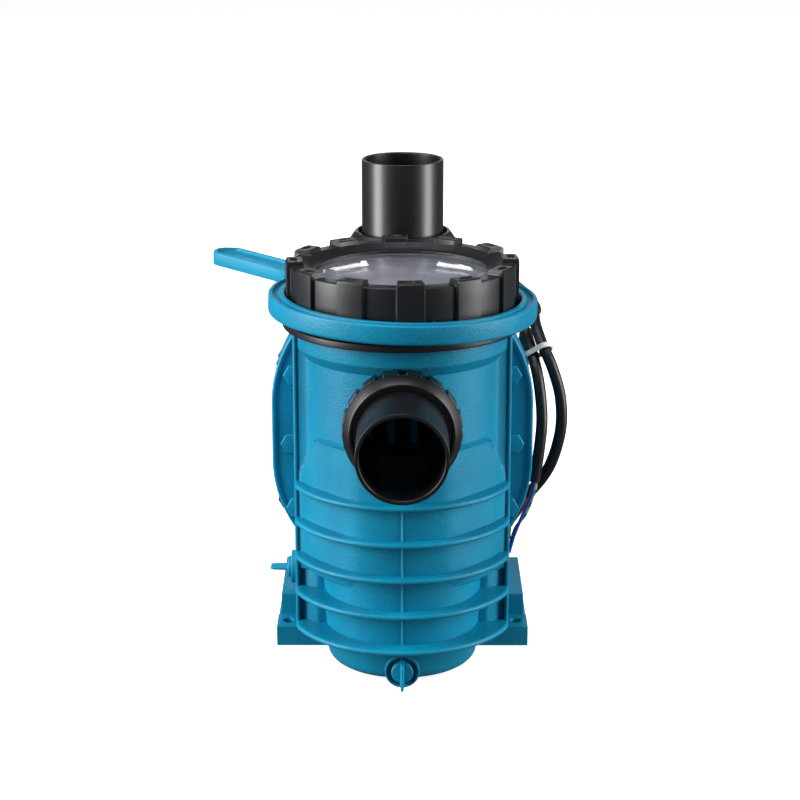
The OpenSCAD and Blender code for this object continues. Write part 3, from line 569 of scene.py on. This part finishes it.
def dense_angles(count, lowest, highest, focus, width, extra):
    """Even angles with extra ones packed round each focus angle."""
    packed = [f + width * np.linspace(-1, 1, extra) for f in focus]
    angles = np.concatenate([np.linspace(lowest, highest, count, endpoint=False)] + packed)
    return np.unique(np.round(angles, 6))


def casing_front():
    """Upper pot front between its side plates, as a distance from the pot's axis by angle and height.

    Each height is the rounded intersection of a cylinder, two slanting flats and a box,
    joined to a flat strip beside each plate. Angles start at the front and turn to +x.
    """
    angle = np.radians(dense_angles(300, -180, 180, [0], 1.2, 21))
    heights = np.concatenate([
        [FRONT_LOW, 74.2, 75, 77, 80], np.linspace(84, 130, 14), np.linspace(131.5, 184, 48),
        np.linspace(187, 226, 12), np.linspace(228, 247, 12), [247.8, FRONT_HIGH]])
    z = heights[:, None]
    across = np.abs(np.sin(angle))[None] + 1e-6
    ahead = np.cos(angle)[None]

    # The step under the panel runs down beside the plates.
    aside = np.clip((np.degrees(np.abs(angle))[None] - 57) / 18, 0, 1)
    lower = eased(np.clip((STEP_Z - 26 * aside - z) / (3.2 + 14 * aside), 0, 1))
    radius = PANEL_R + (FRONT_R + 0.02 * (z - 115) - PANEL_R) * lower
    radius = radius - 2.5 * np.clip((88 - z) / 12, 0, 1)
    off_flat = np.abs(np.abs(angle)[None] - math.radians(48))
    flat = (73.4 + 18 * (1 - lower)) / np.maximum(np.cos(off_flat), 0.05)
    front = soft_min(radius + 0 * angle, flat, 5)

    # The strip beside each plate leans a little to its side.
    lean_plane = (40.1 + 0 * z) / (0.97 * ahead + 0.24 * across)
    strip = soft_min(WALL_X / across, np.where(ahead > 0, lean_plane, 500), 2)
    shape = soft_max(front, strip, 4)
    shape = soft_min(shape, WALL_X / across, 1.5)
    shape = np.where(ahead < 0, np.minimum(shape, 66 / np.maximum(-ahead, 1e-3)), shape)

    line = LINE_HEIGHT * np.exp(-np.square(shape * np.sin(angle)[None] / LINE_HALF)) * (ahead > 0)
    fade = np.clip(np.minimum(z - FRONT_LOW, FRONT_HIGH - z) / 2.0, 0, 1)
    shape = shape + line - 2 * (1 - np.sqrt(1 - np.square(1 - fade)))
    points = np.stack([shape * np.sin(angle), POT_Y - shape * np.cos(angle), z + 0 * angle], -1)
    low_hub = np.broadcast_to([0, POT_Y, FRONT_LOW], (1, len(angle), 3))
    high_hub = low_hub + [0, 0, FRONT_HIGH - FRONT_LOW]
    edge = np.stack([np.sin(angle), -np.cos(angle), 0 * angle], -1)[None]
    return np.concatenate([low_hub, low_hub + 52.5 * edge, points, high_hub + 66 * edge, high_hub])


def narrow_pot():
    """Lower pot: circles whose centre and radius move with height, with a rounded foot."""
    turn = np.linspace(0, math.pi / 2, 7)
    foot = np.stack([55 - 8 * (1 - np.sin(turn)), 11 - 8 * np.cos(turn)], -1)
    heights = np.concatenate([foot[:, 1], np.linspace(14, 84, 18)])
    lean = np.interp(heights, [3, 34, 61, 88], [9, 14, 17, 19])
    radius = np.concatenate([foot[:, 0], np.interp(heights[7:], [11, 34, 61, 88], [55, 57, 57.5, 58])])
    angle = np.radians(dense_angles(160, -180, 180, [0], 1.4, 21))
    shape = radius[:, None] + LINE_HEIGHT * np.exp(-np.square(radius[:, None] * angle / LINE_HALF))
    points = np.stack([shape * np.sin(angle), POT_Y - lean[:, None] - shape * np.cos(angle),
                       heights[:, None] + 0 * angle], -1)
    hub = np.broadcast_to([0, POT_Y - 9, 3], (1, len(angle), 3))
    return np.concatenate([hub, points, hub + [0, -10, 81]])


def rib(top):
    """A shelf round the pot: an arc cut off at both side plates, with a rounded rim."""
    angle = np.radians(dense_angles(150, -108, 108, [-68.4, 68.4], 1.5, 9))
    reach = soft_min(RIB_R + 0 * angle, 77.7 / np.maximum(np.abs(np.sin(angle)), 0.01), 1.5)
    turn = np.linspace(0, math.pi, 11)
    inset = np.concatenate([[40, 8, 5], 1.9 * (1 - np.sin(turn)), [5, 8, 40]])
    rim = -RIB_T / 2 + RIB_T / 2 * np.cos(turn)
    lift = np.concatenate([[0, 0, -0.12], rim, [0.12 - RIB_T, -RIB_T, -RIB_T]])
    shape = reach[None] - inset[:, None]
    return np.stack([shape * np.sin(angle), POT_Y - shape * np.cos(angle),
                     top + lift[:, None] + 0 * angle], -1)


def side_plate(side):
    """A flat plate beside the pot, from its rounded front edge back into the flange."""
    outline = rounded([(75, POT_Y - 23.6, 1.1), (PLATE_X, POT_Y - 23.6, 1.5),
                       (PLATE_X, FLANGE_Y + 4, 0), (75, FLANGE_Y + 4, 0)], 5, True)
    sheet = raised(outline, edge_profile(PLATE_LOW, PLATE_HIGH, 1, 1.5))
    return sheet * [side, 1, 1]


def collar_and_bore():
    """The collar, threaded neck, seat of the seal and inside of the pot, turned as one."""
    start, pitch, count = 255.5, 5.5, 5
    thread = [corner for i in range(count) for corner in (
        (73.9, start + i * pitch, 0.4), (72.4, start + i * pitch + 0.9, 0.3),
        (72.4, start + i * pitch + 2.1, 0.3), (73.9, start + i * pitch + 3.0, 0.4))]
    outside = [(66, COLLAR_Z - 6, 0), (71.2, COLLAR_Z - 1.5, 3), (77.6, COLLAR_Z + 6.5, 2.5),
               (78, 252.6, 1.8), (73.9, 253.2, 0.6)]
    inside = [(73.9, SEAT_Z, 1), (66, SEAT_Z, 1), (66, 240, 0.5), (62, 240, 1), (61, 128, 2),
              (53, 71, 3), (46, 9, 6), (0, 8.5, 0)]
    outline = refine(rounded(outside + thread + inside, 4), 6)
    return turned(outline, 192) + [0, POT_Y, 0]


def flange_outline():
    """The front flange's outline: two arcs joined by straight sides and cut flat at both ends."""
    low_hub, high_hub, radius = 130, 174.5, 99
    low_turn = math.asin((PLATE_LOW - low_hub) / radius)
    high_turn = math.asin((PLATE_HIGH - high_hub) / radius)
    lower = np.linspace(low_turn, 0, 24)
    upper = np.linspace(0, high_turn, 24)
    right = np.concatenate([np.stack([radius * np.cos(lower), low_hub + radius * np.sin(lower)], -1),
                            np.stack([radius * np.cos(upper), high_hub + radius * np.sin(upper)], -1)])
    return np.concatenate([right, right[::-1] * [-1, 1]])


def front_flange():
    """The front flange with a rounded rim that stands a little proud of its face."""
    depth = 12
    profile = [(0, 0.1), (0, depth - 0.6), (0.4, depth + 0.8), (1.2, depth + 1.5), (2.6, depth + 1.5),
               (3.4, depth + 1.1), (4.2, depth), (9, depth)]
    spine = flange_outline() * [0.0, 0.4] + [0, 85]
    return facing_front(raised(flange_outline(), profile, spine), FLANGE_Y + depth)


def flange_bosses():
    """The hexagonal nut pockets that stand on the flange."""
    hexagon = [(8.7 * math.cos(turn), 8.7 * math.sin(turn), 1.2) for turn in map(math.radians, HEX_ANGLES)]
    boss = raised(rounded(hexagon, 3, True), edge_profile(0, 3.4, 0, 0.9))
    places = [(80.5, 92), (84, 143), (81.5, 197), (60, 230), (45, 57)]
    spots = [(side * x, z) for side in (-1, 1) for x, z in places]
    return [facing_front(boss, FLANGE_Y + 1, x, z) for x, z in spots]


def cup(radius, recess, depth, length):
    """A round boss with a rounded rim and a sunken face that a plug turns in."""
    return turned(rounded([(0.01, 0, 0), (radius, 0, 0), (radius, length, 1.2), (recess, length, 0.6),
                           (recess, length - depth, 0.5), (5.2, length - depth, 0.2),
                           (5.2, 1, 0), (0.01, 1, 0)], 4), 64)


def suction_spigot():
    """The threaded spigot that the suction union screws on, open to the pot."""
    end = POT_Y - NUT_BACK_Y + 14
    outline = rounded([(37, 58, 0), (38, 60, 0.5), (38, end, 1), (28, end, 1), (28, 57, 0),
                       (37, 58, 0)], 3)
    return facing_front(turned(outline, 96), POT_Y, 0, SUCTION_Z)


def outside_bores(centres):
    """True for faces that close neither the suction bore nor the inside of the pot."""
    off_axis = np.hypot(centres[:, 0], centres[:, 2] - SUCTION_Z)
    ahead = POT_Y - centres[:, 1]
    inside = np.interp(centres[:, 2], [9.5, 16, 71, 128, 240, 240.1], [38, 45, 52, 60, 61, 65])
    in_pot = (np.hypot(centres[:, 0], ahead) < inside) & (centres[:, 2] > 9.5)
    return ~(in_pot | ((off_axis < 32) & (ahead > 40) & (ahead < 80)))


def web():
    """The slab between the side plates, under the casing's back."""
    outline = rounded([(-77.5, POT_Y + 36, 2), (77.5, POT_Y + 36, 2), (77.5, FLANGE_Y + 6, 0),
                       (-77.5, FLANGE_Y + 6, 0)], 4, True)
    return raised(outline, edge_profile(PLATE_LOW, 37.5, 0.6, 1.5))


def low_walls():
    """The walls between the lowest ribs, on both sides of the narrow pot."""
    outline = rounded([(-WALL_X, POT_Y - 18, 2), (-62, POT_Y - 27, 6), (-50, POT_Y - 27, 0),
                       (50, POT_Y - 27, 0), (62, POT_Y - 27, 6), (WALL_X, POT_Y - 18, 2),
                       (WALL_X, POT_Y + 40, 0), (-WALL_X, POT_Y + 40, 0)], 4, True)
    return raised(outline, edge_profile(32, 78, 0.5, 0.5))


def make_front_casing():
    """The body in one piece, its ribs in a second and the dark spigot in a third."""
    shells = [casing_front(), narrow_pot(), collar_and_bore(), low_walls()]
    shells += [side_plate(-1), side_plate(1), web(), front_flange()] + flange_bosses()
    shells += [facing_front(cup(12.5, 10.8, 4, 20), POT_Y - 50, 0, FRONT_DRAIN_Z),
               facing_left(cup(12.5, 10.8, 4, 12), -72, SIDE_DRAIN_Y, SIDE_DRAIN_Z)]
    ribs = [rib(top) for top in RIB_TOPS]
    new_piece("front_casing_body", shells, "pump_blue", "root", ["front_casing"], outside_bores)
    new_piece("front_casing_ribs", ribs, "pump_blue", "root", (), None, 40, range(len(ribs)))
    new_piece("suction_spigot", [suction_spigot()], "satin_black", "root")


make_front_casing()


# ---------------------------------------------------------------- lid

LOBE_COUNT = 12
LOBE_STEP = 360 / LOBE_COUNT
FIRST_LOBE = -86
BAND_TOP = RING_LOW + 5.1
WRENCH_TILT = math.radians(1.6)
WRENCH_TURN = math.radians(135)


def lid_ring_shape():
    """The lid ring: one profile where it is recessed and one over a pad, mixed round the ring."""
    high = RING_HIGH
    lip = box_mm("slip_ring")[1][2] + 0.1
    start = [(74.1, lip, 0), (74.1, RING_LOW, 0.4), (86, RING_LOW, 0.9), (86, BAND_TOP, 0.9),
             (80.6, BAND_TOP, 0.3)]
    end = [(65, lip + 0.9, 0.6), (61, lip, 0), (74.1, lip, 0)]
    recess = start + [(80.4, 262, 0.3), (80.4, high - 3.5, 2.6), (77, high - 3.5, 0),
                      (74, high - 3.5, 0), (70.6, high - 3.6, 0.5), (70.4, high - 3.8, 0.3)] + end
    pad = start + [(83.4, 262, 0.8), (83.2, high, 2.4), (79, high, 0), (75, high, 0),
                   (71, high, 1.4), (70.2, high - 3.6, 0.3)] + end
    low_profile, high_profile = (rounded(p, 4) for p in (recess, pad))
    rows = np.arange(len(low_profile))
    finer = np.linspace(0, len(rows) - 1, 3 * (len(rows) - 1) + 1)
    low_profile, high_profile = (np.stack([np.interp(finer, rows, p[:, k]) for k in (0, 1)], -1)
                                 for p in (low_profile, high_profile))
    lobes = np.radians(FIRST_LOBE + np.arange(LOBE_COUNT) * LOBE_STEP)
    turn = np.unique(np.concatenate([np.linspace(-LOBE_STEP / 2, LOBE_STEP / 2, 37),
                                     np.linspace(6.3, 7.3, 9), np.linspace(-7.3, -6.3, 9)]))
    turn = np.radians(turn[:-1])
    share = eased(np.clip((math.radians(7.15) - np.abs(turn)) / math.radians(0.7), 0, 1))
    angle = (lobes[:, None] + turn[None]).ravel()
    share, turn = np.tile(share, LOBE_COUNT), np.tile(turn, LOBE_COUNT)
    profile = low_profile[:, None] + (high_profile - low_profile)[:, None] * share[None, :, None]
    radius, height = profile[..., 0], profile[..., 1]
    dip = 1 - np.square((radius - 77.5) / 2.6) - np.square(77.5 * turn[None] / 5.6)
    height = height - 1.1 * np.clip(dip * 3, 0, 1) * (height > high - 0.4)
    return np.stack([radius * np.cos(angle), POT_Y + radius * np.sin(angle), height], -1)


def lid_wrench_shapes():
    """The wrench's ring with a groove in its top, and its flared handle with a long recess."""
    outline = rounded([(84.6, 0, 0.8), (96.2, 0, 2.2), (96.2, 14, 1.8), (93, 14, 0.7),
                       (92.6, 11.6, 0.6), (89, 11.6, 0.6), (88.6, 14, 0.7), (84.6, 14, 0.8)], 4, True)
    ring = turned(np.concatenate([outline, outline[:1]]), 240)
    reach, half = 203, 13.5
    flank = [(88, 32, 0), (96, 29, 3), (108, half + 1.5, 16), (130, half, 60),
             (reach - 9, half, 10), (reach, half - 9, 11)]
    corners = [(along, -off, radius) for along, off, radius in flank] + flank[::-1]
    edge = refine(rounded(corners, 6, True), 5)
    spine = np.stack([np.clip(edge[:, 0], 112, reach - 13), 0 * edge[:, 1]], -1)
    profile = [(1.4, 2), (0.4, 2.4), (0, 3.4), (0, 11), (0.4, 12.1), (1.3, 12.5), (2.6, 12.5),
               (3.2, 12.2), (3.6, 10.4), (4.2, 9.9)]
    handle = turned_round_z(raised(edge, profile, spine), WRENCH_TURN)
    lift = BAND_TOP + 87.5 * math.sin(WRENCH_TILT)
    cos, sin = math.cos(WRENCH_TILT), math.sin(WRENCH_TILT)
    return [moved(shape, (0, POT_Y, lift), (cos, 0, -sin), (0, 1, 0), (sin, 0, cos))
            for shape in (ring, handle)]


def lens_shape():
    """The clear cover: a flat rim and a shallow dome, with both faces."""
    low = box_mm("lid_lens")[0][2]
    high = box_mm("lid_lens")[1][2]
    thick, dome_r = 4, 56
    reach = np.linspace(0, dome_r - 1, 24)
    top = high - (high - low - thick) * np.square(reach / dome_r)
    rim = rounded([(dome_r, low + thick, 0), (73, low + thick, 0.8), (73, low, 0.8), (dome_r, low, 0)], 3)
    outer = np.stack([reach, top], -1)
    inner = np.stack([reach, top - thick], -1)[::-1]
    return turned(np.concatenate([outer, rim, inner]), 128) + [0, POT_Y, 0]


new_piece("lid_ring_pads", [lid_ring_shape()], "satin_black", "ring", ["lid_ring"], None, 28)
new_piece("lid_wrench_grip", lid_wrench_shapes(), "pump_blue", "wrench", ["lid_wrench"])
new_piece("lid_clear_cover", [lens_shape()], "clear_lens", "lid", ["lid_lens"])


# ---------------------------------------------------------------- unions

def union_tail(length):
    """A pipe tail: a flange inside the nut, a plain tube and a mouth with soft edges."""
    bore = PIPE_R - 2.9
    return turned(rounded([(bore, 16.5, 0.3), (37.4, 16.2, 0.5), (37.4, 20.7, 0.6), (PIPE_R, 20.9, 0.5),
                           (PIPE_R, length, 0.4), (bore + 0.5, length, 0.4), (bore, length - 0.8, 0.3),
                           (bore, 16.5, 0)], 4), 144)


def union_nut():
    """A union nut: a knurled band, a broad bevel and a dark step down to the pipe, with 16 lugs."""
    outline = rounded([(38.1, 0, 0.3), (39.7, 0, 0.8), (39.9, 13.6, 0.4), (41, 14, 0.7), (41, 17.4, 1),
                       (36.6, 23.9, 0.7), (34.6, 23.9, 0.5), (34.2, 21.2, 0.2), (38.1, 21, 0),
                       (38.1, 0, 0)], 4)
    lug_outline = [(38.6, -5.6, 0.2), (41.5, -5.4, 0.6), (41.5, 5.4, 0.6), (38.6, 5.6, 0.2)]
    lug = raised(rounded(lug_outline, 3, True), edge_profile(0.8, 13.4, 0.5, 0.8))
    lugs = [turned_round_z(lug, math.radians(i * 22.5 + 11)) for i in range(16)]
    return [turned(outline, 144)] + lugs


def at_suction(points):
    """Points of a union in its place on the suction spigot."""
    return facing_front(points, NUT_BACK_Y, 0, SUCTION_Z)


def at_discharge(points):
    """Points of a union in its place on the discharge port."""
    return points + [0, 0, NUT_BASE_Z]


def make_unions():
    """Both unions: a pipe tail and a nut each, on bodies of their own."""
    suction_length = NUT_BACK_Y - (box_mm("suction_tail")[0][1] - SHIFT_Y)
    discharge_length = box_mm("discharge_tail")[1][2] - NUT_BASE_Z
    ends = (("suction", at_suction, suction_length), ("discharge", at_discharge, discharge_length))
    for end, put, length in ends:
        new_piece(end + "_pipe_tail", [put(union_tail(length))], "gloss_black", end + "_pipe",
                  [end + "_tail"])
    for end, put, _ in ends:
        new_piece(end + "_union_nut", [put(shell) for shell in union_nut()], "gloss_black",
                  end + "_union", [end + "_nut"])


make_unions()


# ---------------------------------------------------------------- drain plugs

def wing_plug(half):
    """A plug: a stem, a round head with a rounded rim, and a rounded wing of that half width."""
    head = turned(rounded([(0.01, -8, 0), (4.95, -8, 0.8), (4.95, 0, 0), (7.9, 0, 0.4), (7.9, 5, 1.3),
                           (0.01, 5.4, 0)], 4), 64)
    outline = [(-1.3, -half, 1.2), (1.3, -half, 1.2), (1.3, half, 1.2), (-1.3, half, 1.2)]
    wing = raised(rounded(outline, 4, True),
                  [(-0.5, 4.2), (-0.1, 5.4), (0, 8), (0.15, 15), (0.4, 17.2), (1, 18)])
    return [head, wing]


def make_plugs():
    """Both drain plugs, each with the base of its head 8 mm inside its CAD node's outer end."""
    front_y = box_mm("front_drain_plug")[1][1] - SHIFT_Y - 8
    side_x = box_mm("side_drain_plug")[1][0] - 8
    front = [facing_front(shell, front_y, 0, FRONT_DRAIN_Z) for shell in wing_plug(9.6)]
    side = [facing_left(shell[..., [1, 0, 2]], side_x, SIDE_DRAIN_Y, SIDE_DRAIN_Z)
            for shell in wing_plug(5.5)]
    new_piece("front_drain_wing", front, "pump_blue", "front_drain", ["front_drain_plug"])
    new_piece("side_drain_wing", side, "pump_blue", "side_drain", ["side_drain_plug"])


make_plugs()


# ---------------------------------------------------------------- nodes kept from the frame

SLOT_OF = {part["node"]: part["material_slot"] for part in frame["record"]["subparts"]}


def soften(node, width):
    """Rounds a kept node's sharp edges without touching its mesh."""
    weld = node.modifiers.new("weld", "WELD")
    weld.merge_threshold = 1e-5
    flat = node.modifiers.new("flat", "DECIMATE")
    flat.decimate_type = "DISSOLVE"
    flat.angle_limit = math.radians(0.5)
    bevel = node.modifiers.new("edge", "BEVEL")
    bevel.width = width
    bevel.segments = 2
    bevel.limit_method = "ANGLE"
    bevel.angle_limit = math.radians(35)
    bevel.harden_normals = True


ROUND_EDGES = {
    "pump_base": 0.002, "rear_casing": 0.0008, "motor_frame": 0.0004, "terminal_box": 0.0012,
    "terminal_box_lid": 0.0012, "fan_cover": 0.0008, "strainer_basket": 0.0005,
}


def finish_kept_nodes():
    """Gives every node its finish, and the larger ones soft edges."""
    for name, node in nodes.items():
        node.data.materials.clear()
        node.data.materials.append(FINISHES[SLOT_OF[name]])
        if name in ROUND_EDGES:
            soften(node, ROUND_EDGES[name])


finish_kept_nodes()


# ---------------------------------------------------------------- floor and finish

def add_floor():
    """A wide, flat, pale studio floor."""
    make = Finish("studio_floor", emission_color=(1, 1, 1, 1), emission_strength=0.8)
    cloud = make.noise(1.5, 2)
    colour = make.mix(cloud, (0.93, 0.93, 0.93, 1), (0.95, 0.95, 0.95, 1))
    material = make.finish(colour, 0.6 + 0.05 * cloud)
    mesh = bpy.data.meshes.new("studio_floor")
    half, height = 30, -0.0005
    corners = [(-half, -half, height), (half, -half, height), (half, half, height), (-half, half, height)]
    mesh.from_pydata(corners, [], [(0, 1, 2, 3)])
    mesh.materials.append(material)
    floor = bpy.data.objects.new("studio_floor", mesh)
    floor.visible_glossy = False
    floor.visible_diffuse = False
    scene.collection.objects.link(floor)


add_floor()
light_studio()
